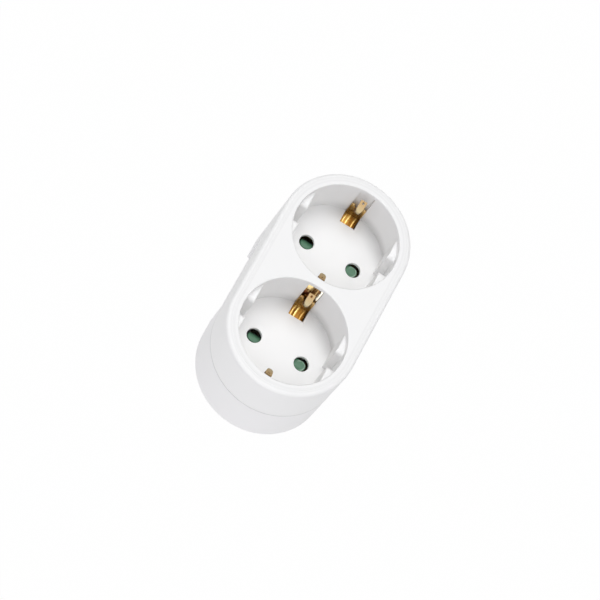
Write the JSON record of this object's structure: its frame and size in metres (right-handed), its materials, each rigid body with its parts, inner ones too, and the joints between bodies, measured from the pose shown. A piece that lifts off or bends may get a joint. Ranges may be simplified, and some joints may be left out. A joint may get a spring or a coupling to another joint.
{
  "type": "multi socket adapter",
  "caption": "Round-ended white mains adapter: side-earthed socket wells with shutters in the front, a matching plug with pins behind.",
  "frame": {"origin": "centre of the plug's end face, midway between the pins", "axes": "+Z out of the front face, +Y along the body, X across the pins, which point along -Z"},
  "size_m": [0.0476, 0.0896, 0.0755],
  "materials": {
    "white_plastic": "satin moulded",
    "cover_plastic": "satin moulded",
    "green_plastic": "matt moulded",
    "inner_plastic": "matt moulded",
    "brass": "rolled strip",
    "nickel": "nickel plated",
    "steel": "zinc plated"
  },
  "bodies": {
    "housing": {"front_housing": "white_plastic", "rear_cover": "cover_plastic", "upper_shutter_spring": "steel", "lower_shutter_spring": "steel", "live_contact_strip": "brass", "neutral_contact_strip": "brass", "live_pin": "nickel", "neutral_pin": "nickel", "earth_bar": "brass", "upper_earth_clip": "brass", "lower_earth_clip": "brass", "earth_saddle": "brass", "plug_earth_bracket": "nickel", "pin_retainer": "inner_plastic", "retainer_screw": "steel", "housing_screws": "steel", "shutter_screws": "steel", "clip_rivets": "brass", "saddle_rivets": "brass"},
    "upper_shutter": {"upper_shutter": "green_plastic"},
    "lower_shutter": {"lower_shutter": "green_plastic"}
  },
  "joints": [
    {"name": "upper_shutter_turn", "type": "hinge", "parent": "housing", "child": "upper_shutter", "pos_m": [0, 0.021, 0.0335], "axis": [0, 0, 1], "range_deg": [0, 38], "stiffness_Nm_per_rad": 0.006, "springref_deg": -20.05, "deforming": ["upper_shutter_spring"]},
    {"name": "lower_shutter_turn", "type": "hinge", "parent": "housing", "child": "lower_shutter", "pos_m": [0, -0.021, 0.0335], "axis": [0, 0, 1], "range_deg": [0, 38], "stiffness_Nm_per_rad": 0.006, "springref_deg": -20.05, "deforming": ["lower_shutter_spring"]}
  ]
}
